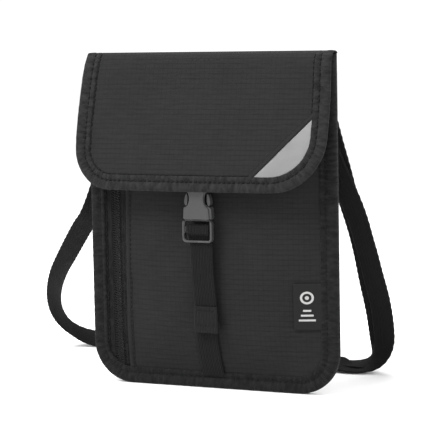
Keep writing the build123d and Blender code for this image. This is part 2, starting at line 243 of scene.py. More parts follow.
def flap_chart(x, s):
    x, s = np.asarray(x, float), np.asarray(s, float)
    middle = FLAP_Y(s)
    edge = np.where(x < 0, FLAP_Y_LEFT(s), FLAP_Y_RIGHT(s))
    return np.stack([x, middle + (edge - middle) * (np.abs(x) / HALF_W) ** 2.3, FLAP_Z(s)], -1)


def on_chart(chart, a, b, offset):
    """Points a distance in front of a chart, along its normal."""
    a, b = np.asarray(a, float), np.asarray(b, float)
    h = 0.4
    da = chart(a + h, b) - chart(a - h, b)
    db = chart(a, b + h) - chart(a, b - h)
    normal = unit(np.cross(da, db)) * (-1 if chart is flap_chart else 1)
    return chart(a, b) + normal * np.asarray(offset, float)[..., None]


# ---- outlines, as rows of (across, along) points ----
def arc(cx, cy, radius, start, end, count=14):
    angles = np.radians(np.linspace(start, end, count))
    return np.stack([cx + radius * np.cos(angles), cy + radius * np.sin(angles)], 1)


def resample(points, step, closed=False):
    points = np.asarray(points, float)
    if closed:
        points = np.vstack([points, points[:1]])
    along = distances(points)
    count = max(2, int(round(along[-1] / step)) + 1)
    even = np.linspace(0, along[-1], count)
    out = np.stack([np.interp(even, along, points[:, k]) for k in range(points.shape[1])], 1)
    return out[:-1] if closed else out


def u_outline(low, high, inset=0.0, left_radius=CORNER_R, right_radius=CORNER_R):
    """Down the left side, round the bottom and up the right side."""
    r0, r1 = left_radius - inset, right_radius - inset
    x0, x1, z0 = -HALF_W + inset, HALF_W - inset, low + inset
    return np.vstack([[[x0, high]], arc(x0 + r0, z0 + r0, r0, 180, 270),
                      arc(x1 - r1, z0 + r1, r1, 270, 360), [[x1, high]]])


# ---- making meshes ----
def new_object(name, verts, faces, body, material, uvs=None):
    mesh = bpy.data.meshes.new(name)
    mesh.from_pydata((np.asarray(verts, float) * MM).tolist(), [], [list(f) for f in faces])
    if uvs is not None:
        layer = mesh.uv_layers.new(name="UVMap")
        loops = np.zeros(len(mesh.loops), np.int32)
        mesh.loops.foreach_get("vertex_index", loops)
        layer.data.foreach_set("uv", (np.asarray(uvs, float) * MM)[loops].astype(np.float32).ravel())
    mesh.update()
    mesh.polygons.foreach_set("use_smooth", [True] * len(mesh.polygons))
    piece = bpy.data.objects.new(name, mesh)
    scene.collection.objects.link(piece)
    mesh.materials.append(material)
    if body:
        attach(piece, body)
    return piece


def triangulated(outline, spacing):
    """A flat mesh inside a closed outline: its points and triangles."""
    edge = resample(outline, spacing, closed=True)
    low, high = edge.min(0), edge.max(0)
    nx, nz = (max(1, int(round((h - l) / spacing))) for l, h in zip(low, high))
    gx, gz = np.meshgrid(np.linspace(low[0], high[0], nx + 1), np.linspace(low[1], high[1], nz + 1))
    grid = np.stack([gx.ravel(), gz.ravel()], 1)
    grid = grid[inside(edge, grid, 0.55 * spacing)]
    points = [Vector(p) for p in np.vstack([edge, grid])]
    count = len(edge)
    edges = [(i, (i + 1) % count) for i in range(count)]
    verts, _, faces, *_ = geometry.delaunay_2d_cdt(points, edges, [], 1, 1e-6)
    return np.array([tuple(v) for v in verts]), [tuple(f) for f in faces]


def inside(edge, points, margin):
    """Which points are inside a closed outline and further than margin from it."""
    a, b = edge, np.roll(edge, -1, axis=0)
    within = np.zeros(len(points), bool)
    near = np.full(len(points), 1e9)
    for (x0, z0), (x1, z1) in zip(a, b):
        crosses = (z0 > points[:, 1]) != (z1 > points[:, 1])
        if z0 != z1:
            at = (x1 - x0) * (points[:, 1] - z0) / (z1 - z0) + x0
            within ^= crosses & (points[:, 0] < at)
        d = np.array([x1 - x0, z1 - z0])
        t = np.clip(((points - [x0, z0]) @ d) / max(d @ d, 1e-12), 0, 1)
        near = np.minimum(near, np.linalg.norm(points - [x0, z0] - t[:, None] * d, axis=1))
    return within & (near > margin)


def cloth(name, outline, chart, body, material, offset=0.0, thick=0.6, spacing=2.4,
          relief=None):
    """A piece of cloth on a chart, with its thickness and edge. relief(a, b) adds height."""
    flat, faces = triangulated(outline, spacing)
    height = np.full(len(flat), float(offset))
    if relief is not None:
        height = height + relief(flat[:, 0], flat[:, 1])
    front = on_chart(chart, flat[:, 0], flat[:, 1], height)
    back = on_chart(chart, flat[:, 0], flat[:, 1], height - thick)
    n = len(flat)
    up = [f[::-1] if chart is flap_chart else f for f in faces]
    down = [tuple(i + n for i in f[::-1]) for f in up]
    sides = dict.fromkeys((i, j) for f in up for i, j in zip(f, f[1:] + f[:1]))
    rim = [(j, i, i + n, j + n) for i, j in sides if (j, i) not in sides]
    return new_object(name, np.vstack([front, back]), up + down + rim, body, material,
                      np.vstack([flat, flat]))


def inward(path):
    """Unit vectors to the left of an open path, at each of its points."""
    ahead = unit(np.gradient(path, axis=0))
    return np.stack([-ahead[:, 1], ahead[:, 0]], 1)


def tube_faces(base, n, m, last):
    """The faces between n rows of m points each, from point number base on."""
    return [(base + i * m + j, base + i * m + (j + 1) % m,
             base + (i + 1) * m + (j + 1) % m, base + (i + 1) * m + j)
            for i in range(n - 1) for j in range(last)]


def tube_ends(base, n, m):
    return [tuple(base + j for j in range(m))[::-1], tuple(base + (n - 1) * m + j for j in range(m))]


def swept_band(name, rows, body, material, along, across, closed_section=False):
    """A surface through rows of points (n, m, 3), with uvs from its two lengths."""
    rows = np.asarray(rows, float)
    n, m = rows.shape[:2]
    faces = tube_faces(0, n, m, m if closed_section else m - 1)
    if closed_section:
        faces += tube_ends(0, n, m)
    uvs = np.stack([np.repeat(along, m), np.tile(across, n)], 1)
    piece = new_object(name, rows.reshape(-1, 3), faces, body, material, uvs)
    return outward_faces(piece) if closed_section else piece


def outward_faces(piece):
    """Turns the faces of a closed mesh to the outside."""
    work = bmesh.new()
    work.from_mesh(piece.data)
    bmesh.ops.recalc_face_normals(work, faces=work.faces)
    work.to_mesh(piece.data)
    work.free()
    return piece


def ribbon(name, centre, side, width, thick, body, material, selvedge=0.0):
    """Flat webbing along centre points (n, 3), ribbed lengthwise. side points across it."""
    ribs, rib_height, samples, selvedge_pitch = 7, 0.07, 42, 4.4
    centre, side = np.asarray(centre, float), np.asarray(side, float)
    ahead = unit(np.gradient(centre, axis=0))
    side = unit(side - (side * ahead).sum(1, keepdims=True) * ahead)
    up = np.cross(side, ahead)
    t = np.linspace(-1, 1, samples)
    lobe = thick / 2 * (1 - np.abs(t) ** 14 * 0.55)
    lobe = lobe + rib_height * np.cos(t * math.pi * ribs) * (1 - np.abs(t) ** 6)
    across = np.r_[t, t[::-1]] * width / 2
    height = np.r_[lobe, -lobe[::-1]]
    along = distances(centre)
    scallop = selvedge * (0.5 + 0.5 * np.cos(2 * math.pi * along / selvedge_pitch))
    at_edge = np.sign(across) * (np.abs(across) > 0.46 * width)
    reach = across + at_edge * scallop[:, None]
    rows = centre[:, None] + side[:, None] * reach[..., None] + up[:, None] * height[None, :, None]
    return swept_band(name, rows, body, material, along, across, closed_section=True)


# One stitch as (place along its length, thickness, rise), in shares of its length and radius.
STITCH = [(-0.5, 0.15, -0.55), (-0.38, 0.8, -0.1), (-0.15, 1.0, 0.25), (0.15, 1.0, 0.25),
          (0.38, 0.8, -0.1), (0.5, 0.15, -0.55)]


def stitches(name, points, normals, body, material, slot="binding", length=2.7, gap=0.9,
             radius=0.28, sink=0.08):
    """A row of raised thread along points (n, 3): one rounded stroke for each stitch."""
    points = np.asarray(points, float)
    normals = np.broadcast_to(np.asarray(normals, float), points.shape)
    along = distances(points)

    def at_distance(values, at):
        return np.array([np.interp(at, along, values[:, k]) for k in range(3)])

    verts, faces, uvs = [], [], []
    sides = 6
    start = gap
    while start + length < along[-1]:
        base = len(verts)
        for share, size, rise in STITCH:
            at = start + length * (share + 0.5)
            p, q = at_distance(points, at), at_distance(points, at + 0.3)
            n = unit(at_distance(normals, at))
            ahead = (q - p) / max(np.linalg.norm(q - p), 1e-9)
            wide = np.cross(n, ahead)
            for k in range(sides):
                angle = 2 * math.pi * k / sides
                spread = wide * math.cos(angle) * radius * size
                lift = n * (math.sin(angle) * radius * size + rise * radius - sink)
                verts.append(p + spread + lift)
                uvs.append((at, angle))
        faces += tube_faces(base, len(STITCH), sides, sides) + tube_ends(base, len(STITCH), sides)
        start += length + gap
    return outward_faces(new_object(name, verts, faces, body, material, uvs))


def chart_stitches(name, path, chart, height, body, material, **sizes):
    """Stitches along a path of chart coordinates, a height above the chart."""
    a, b = resample(path, 1.2).T
    normals = on_chart(chart, a, b, np.ones(len(a))) - on_chart(chart, a, b, np.zeros(len(a)))
    points = on_chart(chart, a, b, np.full(len(a), height))
    return stitches(name, points, normals, body, material, **sizes)


# ---- materials ----
class Nodes:
    """A material's node tree, with short calls for the nodes that these materials use."""

    def __init__(self, name, color, roughness, specular=0.3):
        self.material = bpy.data.materials.new(name)
        self.material.use_nodes = True
        self.tree = self.material.node_tree
        self.shader = self.tree.nodes["Principled BSDF"]
        self.color = color
        self.set(self.shader, **{"Base Color": (*color, 1), "Roughness": roughness,
                                 "Specular IOR Level": specular})

    def set(self, node, **numbers):
        for socket, number in numbers.items():
            node.inputs[socket].default_value = number

    def node(self, kind, **settings):
        made = self.tree.nodes.new(kind)
        for key, value in settings.items():
            setattr(made, key, value)
        return made

    def link(self, source, target):
        self.tree.links.new(source, target)

    def place(self, kind="Object", scale=(1, 1, 1), turn=0.0):
        coordinates = self.node("ShaderNodeTexCoord")
        mapping = self.node("ShaderNodeMapping")
        self.set(mapping, Scale=scale, Rotation=(0, 0, turn))
        self.link(coordinates.outputs[kind], mapping.inputs["Vector"])
        return mapping.outputs["Vector"]

    def math(self, operation, a, b=0.0):
        made = self.node("ShaderNodeMath", operation=operation)
        for socket, value in zip(made.inputs, (a, b)):
            if isinstance(value, (int, float)):
                socket.default_value = value
            else:
                self.link(value, socket)
        return made.outputs[0]

    def noise(self, vector, scale, detail, rough=0.55):
        made = self.node("ShaderNodeTexNoise")
        self.set(made, Scale=scale, Detail=detail, Roughness=rough)
        self.link(vector, made.inputs["Vector"])
        return made.outputs["Fac"]

    def wave(self, vector, scale, direction, distortion):
        made = self.node("ShaderNodeTexWave", wave_type="BANDS", bands_direction=direction,
                         wave_profile="SIN")
        self.set(made, Scale=scale, Distortion=distortion)
        self.link(vector, made.inputs["Vector"])
        return made.outputs["Fac"]

    def spread(self, value, low, high, start=0.0, end=1.0):
        made = self.node("ShaderNodeMapRange")
        self.set(made, **{"From Min": start, "From Max": end, "To Min": low, "To Max": high})
        self.link(value, made.inputs["Value"])
        return made.outputs["Result"]

    def total(self, *shares):
        """The sum of (value, weight) pairs."""
        scaled = [self.math("MULTIPLY", value, weight) for value, weight in shares]
        result = scaled[0]
        for value in scaled[1:]:
            result = self.math("ADD", result, value)
        return result

    def roughness(self, value, low, high):
        self.link(self.spread(value, low, high), self.shader.inputs["Roughness"])

    def shade(self, factor, low, high):
        """Base colour times a factor that runs from low to high."""
        self.two_colors(factor, *[[c * gain for c in self.color] for gain in (low, high)])

    def two_colors(self, factor, first, second):
        mix = self.node("ShaderNodeValToRGB")
        for element, color in zip(mix.color_ramp.elements, (first, second)):
            element.color = (*color, 1)
        self.link(factor, mix.inputs["Fac"])
        self.link(mix.outputs["Color"], self.shader.inputs["Base Color"])

    def bump(self, *layers):
        """Layers of (height, strength, depth in mm), the broadest first."""
        last = None
        for height, strength, depth in layers:
            made = self.node("ShaderNodeBump")
            self.set(made, Strength=strength, Distance=depth * MM)
            self.link(height, made.inputs["Height"])
            if last is not None:
                self.link(last, made.inputs["Normal"])
            last = made.outputs["Normal"]
        self.link(last, self.shader.inputs["Normal"])

    def sheen(self, weight, roughness=0.4):
        self.set(self.shader, **{"Sheen Weight": weight, "Sheen Roughness": roughness})


def bands(period_mm):
    """The wave texture's scale for bands a number of millimetres apart, in UV metres."""
    return 2 * math.pi / (20 * period_mm * MM)


def ripstop(name, color):
    """Plain weave with a raised square grid, slubs, and a little wear and creasing."""
    m, cell = Nodes(name, color, 0.85, 0.10), 3.0
    uv = m.place("UV")
    warp = m.wave(uv, bands(0.42), "X", 0.4)
    weft = m.wave(uv, bands(0.42), "Y", 0.4)
    weave = m.math("MULTIPLY", warp, weft)
    grid_x = m.spread(m.wave(uv, bands(cell), "X", 0.15), 0, 1, 0.90, 1.0)
    grid_y = m.spread(m.wave(uv, bands(cell), "Y", 0.15), 0, 1, 0.90, 1.0)
    lines = m.math("MAXIMUM", m.math("MULTIPLY", grid_x, 0.6), grid_y)
    broad = m.noise(m.place("Object"), 28, 4)
    fine = m.noise(m.place("Object"), 900, 2)
    slubs = m.noise(m.place("UV", scale=(0.14, 1, 1)), 760, 2)
    tone = m.total((broad, 0.40), (weave, 0.20), (fine, 0.15), (slubs, 0.45), (lines, -0.21))
    m.shade(tone, 0.32, 1.80)
    m.roughness(broad, 0.79, 0.93)
    m.bump((broad, 0.25, 1.2), (slubs, 0.4, 0.15), (lines, 0.3, 0.12), (weave, 0.5, 0.06))
    m.sheen(0.03)
    return m.material


def bias_tape(name, color, roughness=0.88, sheen=0.04):
    """Plain tape cut on the bias: a fine slanting twill and stretched creasing, whose shade and
    highlights are also painted into the colour.
    """
    m = Nodes(name, color, roughness, 0.10)
    uv = m.place("UV", turn=math.radians(45))
    twill = m.wave(uv, bands(0.6), "X", 0.6)
    cross = m.wave(uv, bands(0.6), "Y", 0.6)
    crease_relief_and_painted_shading = m.noise(m.place("UV", scale=(1, 0.35, 1), turn=math.radians(38)), 420, 3)
    broad = m.noise(m.place("Object"), 60, 3)
    weave = m.math("MULTIPLY", twill, cross)
    crease_relief_and_painted_shading = m.spread(crease_relief_and_painted_shading, 0, 1, 0.34, 0.66)
    # The crease noise lightens and darkens the colour: painted shade and highlight of the crease folds.
    m.shade(m.total((crease_relief_and_painted_shading, 0.7), (weave, 0.3)), 0.55, 1.6)
    m.roughness(broad, roughness - 0.08, roughness + 0.08)
    m.bump((crease_relief_and_painted_shading, 0.8, 0.7), (weave, 0.5, 0.08))
    m.sheen(sheen)
    return m.material


def webbing(name, color, sheen=0.02, specular=0.12):
    """Ribbed webbing: crosswise picks between the lengthwise ribs."""
    m = Nodes(name, color, 0.75, specular)
    uv = m.place("UV")
    picks = m.wave(uv, bands(0.75), "X", 0.5)
    ribs = m.wave(uv, bands(1.05), "Y", 0.2)
    fuzz = m.noise(m.place("Object"), 1400, 2)
    worn = m.noise(m.place("Object"), 45, 3)
    weave = m.math("MULTIPLY", picks, ribs)
    m.shade(m.total((weave, 0.45), (fuzz, 0.35), (worn, 0.20)), 0.4, 1.8)
    m.roughness(worn, 0.65, 0.85)
    m.bump((ribs, 0.5, 0.35), (weave, 0.9, 0.25))
    m.sheen(sheen)
    return m.material


def plain_lining(name, color, roughness=0.7):
    m = Nodes(name, color, roughness)
    uv = m.place("UV")
    weave = m.math("MULTIPLY", m.wave(uv, bands(0.35), "X", 0.3), m.wave(uv, bands(0.35), "Y", 0.3))
    broad = m.noise(m.place("Object"), 35, 4)
    m.shade(m.total((broad, 0.7), (weave, 0.3)), 0.8, 1.2)
    m.roughness(broad, roughness - 0.1, roughness + 0.1)
    m.bump((broad, 0.3, 0.8), (weave, 0.4, 0.05))
    m.sheen(0.2)
    return m.material


def moulded(name, color, roughness, specular=0.35):
    """Satin moulded plastic with a fine spark-eroded grain and rubbed places."""
    m = Nodes(name, color, roughness, specular)
    grain = m.noise(m.place("Object"), 2600, 2)
    rubbed = m.noise(m.place("Object"), 130, 4)
    m.shade(m.total((rubbed, 0.7), (grain, 0.3)), 0.85, 1.2)
    m.roughness(rubbed, roughness - 0.12, roughness + 0.12)
    m.bump((rubbed, 0.08, 0.3), (grain, 0.25, 0.03))
    return m.material


def reflective(name, color):
    """Glass-bead reflective cloth: a pale even face with soft creasing, whose shade and highlights are
    painted into the colour, and fine speckle.
    """
    m = Nodes(name, color, 0.42, 0.5)
    beads = m.noise(m.place("Object"), 3800, 1)
    crease_relief_and_painted_shading = m.noise(m.place("Object", scale=(1, 1, 0.6)), 55, 3)
    # The crease noise also lightens and darkens the colour: painted shade and highlight of the folds.
    m.shade(m.total((beads, 0.35), (crease_relief_and_painted_shading, 0.65)), 0.80, 1.18)
    m.roughness(crease_relief_and_painted_shading, 0.35, 0.50)
    m.bump((crease_relief_and_painted_shading, 0.35, 0.8), (beads, 0.2, 0.02))
    m.sheen(0.3)
    return m.material


def thread(name, color):
    m = Nodes(name, color, 0.55, 0.15)
    twist = m.wave(m.place("UV", scale=(1, 0.002, 1), turn=math.radians(30)), bands(0.35), "X", 0.2)
    dust = m.noise(m.place("Object"), 700, 2)
    m.shade(m.total((twist, 0.5), (dust, 0.5)), 0.7, 1.4)
    m.bump((twist, 0.5, 0.06))
    return m.material


BODY_CLOTH = ripstop("body_cloth", (0.0105, 0.0105, 0.0107))
FLAP_CLOTH = ripstop("flap_cloth", (0.0115, 0.0115, 0.0117))
TAPE_BINDING = bias_tape("bias_binding", (0.0135, 0.0135, 0.0137))
BODY_BINDING = bias_tape("body_bias_tape", (0.0085, 0.0085, 0.0087))
STRAP_CLOTH = webbing("strap_webbing", (0.0045, 0.0045, 0.0046))
HEM_CLOTH = webbing("hem_webbing", (0.0085, 0.0085, 0.0087))
NECK_CLOTH = webbing("neck_webbing", (0.0095, 0.0095, 0.0096), sheen=0.01, specular=0.06)
ZIP_TAPE = bias_tape("zip_tape_cloth", (0.0075, 0.0075, 0.0077), 0.85, 0.02)
ZIP_COIL = moulded("zip_coil_nylon", (0.0085, 0.0085, 0.0086), 0.75, specular=0.08)
ZIP_PAINT = moulded("zip_painted_zinc", (0.012, 0.012, 0.0125), 0.30)
BUCKLE = moulded("buckle_acetal", (0.031, 0.031, 0.0315), 0.42)
LINING = plain_lining("grey_lining", (0.12, 0.122, 0.125))
FOAM = plain_lining("foam_sheet", (0.22, 0.22, 0.22), 0.9)
FOIL = moulded("shielding_film", (0.45, 0.46, 0.47), 0.3)
PATCH = reflective("reflective_cloth", (0.125, 0.125, 0.126))
DARK_THREAD = thread("dark_thread", (0.0022, 0.0022, 0.0023))


# ---- pouch body ----
def puckers(distance, a, b, seed):
    """Small pulls in the cloth beside a seam."""
    return 0.22 * np.exp(-np.maximum(distance, 0) / 7.0) * fractal(on_plane(a, b), 5.5, seed)


def front_relief(x, z):
    d = edge_distance(x, z, 0)
    points = on_plane(x, z)
    broad = 0.55 * fractal(points * [1, 1, 0.6], 42, 3) * ramp(d, 8, 30)
    slack = 0.22 * fractal(points, 14, 5) * ramp(d, 10, 24)
    return broad + slack + puckers(d - BIND_WIDTH, x, z, 8)


def fold_x(z):
    """The front panel's folded edge beside the zip, which runs out a little towards the bottom."""
    return FOLD_X - 0.5 - 3.0 * (1 - np.asarray(z, float) / TOP_Z)


def make_front():
    outline = np.vstack([[[fold_x(TOP_Z), TOP_Z], [fold_x(SEAM_INSET), SEAM_INSET]],
                         arc(HALF_W - CORNER_R, CORNER_R, CORNER_R - SEAM_INSET, 270, 360),
                         [[HALF_W - SEAM_INSET, TOP_Z]]])
    panel = cloth("front_panel_cloth", outline, front_chart, "pouch_body", BODY_CLOTH,
                  thick=0.8, spacing=2.2, relief=front_relief)
    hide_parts("front_panel")
    heights = np.linspace(9, TOP_Z - 1, 110)
    section = np.array([(-0.2, -0.9), (-0.75, -0.5), (-0.95, 0.1), (-0.7, 0.65), (0.0, 0.85),
                        (1.0, 0.62), (1.9, 0.28), (2.6, 0.12), (2.9, -0.1), (1.5, -0.5)])
    rows = []
    for z in heights:
        wobble = 0.12 * noise.noise(Vector((0, 0, z / 9)))
        a = fold_x(z) + section[:, 0] + wobble
        rows.append(on_chart(front_chart, a, np.full(len(a), z), section[:, 1]))
    swept_band("front_panel_fold", rows, "pouch_body", BODY_CLOTH, heights,
               section[:, 0], closed_section=True)
    chart_stitches("front_fold_stitches", [(fold_x(11) + 2.0, 11), (fold_x(TOP_Z) + 2.0, TOP_Z - 4)],
                   front_chart, 0.35, "pouch_body", DARK_THREAD, length=2.2, gap=0.7, radius=0.34)


BODY_BIND_SECTION = [(10.1, -1.5), (9.95, -2.2), (9.5, -2.75), (8.9, -2.95), (8.0, -2.75),
                     (6.7, -1.95), (5.7, -2.6), (4.7, -3.1), (3.4, -3.3), (2.0, -3.15), (0.8, -2.5),
                     (0.12, -1.2), (0.0, 0.4), (0.12, 1.9), (0.8, 3.1), (2.0, 3.6), (3.4, 3.75),
                     (4.7, 3.6), (5.7, 3.3), (6.7, 2.9), (8.0, 3.3), (8.9, 3.4), (9.5, 3.2),
                     (9.95, 2.8), (10.1, 2.2)]


def make_body_binding():
    path = resample(u_outline(0, TOP_Z + 2.6, 0), 1.3)
    into = inward(path)
    section = np.array(BODY_BIND_SECTION)
    along = distances(path)
    rows = []
    for (x, z), (mx, mz), s in zip(path, into, along):
        row = []
        for inset, y in section:
            slant = Vector(((s + inset * 1.2) / 2.8, inset / 9.0, 2.0 if y > 0 else 0.0))
            crease = 0.36 * noise.noise(slant) + 0.14 * noise.noise(slant * 2.3)
            crease *= 1.0 if 0.5 < inset < 10.2 else 0.3
            base = front_depth(x + mx * inset, z + mz * inset) - 1.6 if y < 0 else 0.0
            lift = min(base, 0.9) * min(1, inset / 10) if y < 0 else 0.0
            row.append((x + mx * inset, y - lift + (crease if y > 0 else -crease), z + mz * inset))
        rows.append(row)
    rows = np.array(rows)
    rows[..., 2] = np.maximum(rows[..., 2], 0.0)
    across = distances(section)
    binding = swept_band("body_bias_binding", rows, "pouch_body", BODY_BINDING, along,
                         across)
    thicken(binding, 0.45)
    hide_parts("body_binding")
    for label, column, sign in (("front", 5, -1), ("back", 19, 1)):
        stitches(f"body_binding_stitches_{label}", rows[3:-3, column], [0.0, sign, 0.0], "pouch_body",
                 DARK_THREAD, length=2.3, gap=0.8, radius=0.38, sink=-0.05)


def thicken(piece, thickness, offset=-1.0):
    """Gives an open surface a thickness, towards its inner side."""
    solid = piece.modifiers.new("thickness", "SOLIDIFY")
    solid.thickness = thickness * MM
    solid.offset = offset
    apply_modifiers(piece)
    return piece


def apply_modifiers(piece):
    graph = bpy.context.evaluated_depsgraph_get()
    mesh = bpy.data.meshes.new_from_object(piece.evaluated_get(graph))
    old = piece.data
    piece.modifiers.clear()
    piece.data = mesh
    bpy.data.meshes.remove(old)
    return piece


def back_relief(x, z):
    d = edge_distance(x, z, 0)
    points = on_plane(x, z)
    return 0.35 * fractal(points, 30, 12) * ramp(d, 8, 26) + puckers(d - BIND_WIDTH, x, z, 14)


def make_back():
    outline = u_outline(0, TOP_Z + 1.5, SEAM_INSET)
    back = cloth("back_panel_cloth", outline, back_chart, "pouch_body", BODY_CLOTH,
                 thick=0.55, spacing=3.0, relief=back_relief)
    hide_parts("back_panel")
    layers = (("foam_pad", "foam_pad_sheet", 1.75, 1.1, FOAM, "foam", 6.0),
              ("rfid_shield", "rfid_shield_film", 0.55, 0.2, FOIL, "foil", 8.0),
              ("back_lining", "back_lining_cloth", 0.28, 0.25, LINING, "lining", 4.0))
    for node, name, front_y, thick, material, slot, spacing in layers:
        top = TOP_Z - (3.0 if node != "back_lining" else 0.5)

        def flat_chart(x, z, y=front_y):
            return np.stack([-x, np.full_like(x, y), z], -1)

        sheet = cloth(name, u_outline(0, top, 2.0), flat_chart, "pouch_body", material,
                      thick=thick, spacing=spacing)
        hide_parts(node)


def make_divider():
    plan = soft_curve([(-80, 0.2), (-64, 0.3), (-50, 2.9), (-43, 6.4), (56, 6.4), (66, 0.3),
                       (80, 0.2)], 2.0)
    side = soft_curve([(0, 0), (13, 0), (34, 1), (160, 1), (184, 0.9), (200, 0.9)], 3.0)

    def divider_chart(x, z):
        room = front_depth(x, z) - 2.0 - 1.3 * (1 - ramp(x, -52, -48))
        return np.stack([x, -np.minimum(plan(x) * side(z), np.maximum(room, 0.2)), z], -1)

    def relief(x, z):
        return 0.35 * fractal(on_plane(x, z), 22, 31) * ramp(edge_distance(x, z, 0), 14, 30)

    piece = cloth("pocket_divider_cloth", u_outline(0, TOP_Z - 2.0, 2.0), divider_chart, "pouch_body",
                  LINING, thick=0.35, spacing=3.2, relief=relief)
    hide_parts("pocket_divider")


def make_mouth_binding():
    low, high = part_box("mouth_binding")
    xs = np.linspace(low.x / MM - 6, high.x / MM + 6, 90)
    section = [(-0.1, 187.2), (0.55, 187.6), (0.75, 189.5), (0.7, 193), (0.55, 195.2), (-0.2, 196.0),
               (-1.2, 195.4), (-1.7, 193), (-1.7, 189.5), (-1.4, 187.4)]
    rows = []
    for x in xs:
        wobble = 0.12 * noise.noise(Vector((x / 4, 3.0, 0)))
        front_y = -front_depth(np.array(x), np.array(189.0))
        rows.append([(x, front_y - out - (wobble if out > 0 else 0), z) for out, z in section])
    across = np.linspace(0, 18, len(section))
    piece = swept_band("mouth_bias_binding", rows, "pouch_body", TAPE_BINDING, xs, across,
                       closed_section=True)
    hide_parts("mouth_binding")
    line = [(x, -front_depth(np.array(x), np.array(189.0)) - 0.85, 189.6) for x in xs[2:-2]]
    stitches("mouth_binding_stitches", line, [0.0, -1.0, 0.0], "pouch_body", DARK_THREAD,
             length=2.6, gap=0.95, radius=0.25, sink=-0.02)


# ---- zip ----
def make_zip():
    outer, inner = COIL_X[0] + 0.9, COIL_X[1] - 0.9
    for node, x0, x1 in (("zipper_tape_left", -73, outer), ("zipper_tape_right", inner, FOLD_X + 3.5)):
        outline = np.array([(x0, TOP_Z), (x0, 8), (x1, 8), (x1, TOP_Z)])
        tape = cloth(node + "_cloth", outline, zip_chart, "pouch_body", ZIP_TAPE,
                     thick=0.5, spacing=1.6)
        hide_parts(node)
    # name, x, lowest and highest z, height, stitch length, gap and radius
    for name, x, low, high, height, length, gap, radius in (
            ("zip_tape_stitches_left", COIL_X[0] - 0.4, 10, 192, 0.15, 1.8, 0.35, 0.2),
            ("zip_tape_stitches_right", COIL_X[1] + 0.4, 10, 192, 0.15, 1.8, 0.35, 0.2),
            ("zip_tape_cord_line", COIL_X[1] + 1.9, 9, 193, 0.05, 3.2, 0.25, 0.22),
            # The last row is no seam: a near-continuous dark thread line at the body binding's inner
            # edge, a painted shadow of that edge.
            ("zip_binding_edge_shadow_line", -HALF_W + 10.7, 17, 194, 0.2, 3.4, 0.15, 0.42)):
        chart_stitches(name, [(x, low), (x, high)], zip_chart, height, "pouch_body", DARK_THREAD,
                       slot="zip_tape", length=length, gap=gap, radius=radius)
    make_coil()


def make_coil():
    """Two rows of nylon loops that mesh down the middle."""
    middle, reach, pitch = sum(COIL_X) / 2, 3.05, 1.45
    bend = [(1.0, 0.05), (0.86, 0.25), (0.5, 0.36), (0.12, 0.4), (-0.16, 0.36), (-0.26, 0.1)]
    sides, verts, faces, uvs = 7, [], [], []
    count = int((198 - 11) / pitch)
    for k in range(count):
        for side in (-1, 1):
            z = 11 + pitch * (k + (0.25 if side > 0 else -0.25))
            base = len(verts)
            for i, (share, height) in enumerate(bend):
                a = middle + side * share * reach
                b = z + (0.16 * (i - 2) if side > 0 else -0.16 * (i - 2))
                centre = on_chart(zip_chart, np.array([a]), np.array([b]), np.array([height]))[0]
                fat = 0.42 if i in (0, len(bend) - 1) else 0.52
                for j in range(sides):
                    angle = 2 * math.pi * j / sides
                    verts.append(centre + [0, -math.sin(angle) * fat * 0.8, math.cos(angle) * fat])
                    uvs.append((a, b))
            root, tip = tube_ends(base, len(bend), sides)
            faces += tube_faces(base, len(bend), sides, sides) + [root[::-1], tip]
    coil = new_object("zipper_coil_loops", verts, faces, "pouch_body", ZIP_COIL, uvs)
    outward_faces(coil)
    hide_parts("zipper_coil")


# ---- flap ----
def flap_outline(inset):
    """The flap's closed outline in (x, distance down the flap)."""
    u = u_outline(0, FLAP_LENGTH, inset, FLAP_LEFT_R, FLAP_RIGHT_R)
    u[:, 1] = FLAP_LENGTH - u[:, 1]
    return u


def flap_edge_distance(x, s):
    return edge_distance(x, FLAP_LENGTH - s, 0)


def flap_relief(x, s):
    d = flap_edge_distance(x, s)
    points = on_plane(x, s)
    broad = 0.45 * fractal(points * [0.7, 1, 1], 45, 21) * ramp(d, 8, 30) * ramp(s, 12, 30)
    return broad + puckers(d - BIND_WIDTH, x, s, 23)


def make_flap():
    panel = cloth("flap_panel_cloth", flap_outline(SEAM_INSET), flap_chart, "flap", FLAP_CLOTH,
                  offset=-0.1, thick=0.6, spacing=2.2, relief=flap_relief)
    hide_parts("flap_panel", "flap_stiffener")
    lining = cloth("flap_lining_cloth", flap_outline(BIND_WIDTH - 1.4), flap_chart, "flap", LINING,
                   offset=-0.9, thick=0.45, spacing=3.4)
    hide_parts("flap_lining")
    make_flap_binding()
    make_patch()


FLAP_BIND_SECTION = [(10.0, -0.35), (9.85, 0.35), (9.3, 0.85), (8.4, 0.95), (7.3, 0.65),
                     (6.4, -0.15), (5.5, 0.7), (4.2, 1.35), (2.6, 1.4), (1.1, 1.0), (0.2, 0.25),
                     (0.0, -0.7), (0.2, -1.5), (1.0, -2.0), (2.4, -2.2), (4.0, -2.2), (6.4, -1.8),
                     (8.4, -2.1), (9.6, -2.0), (10.0, -1.5)]


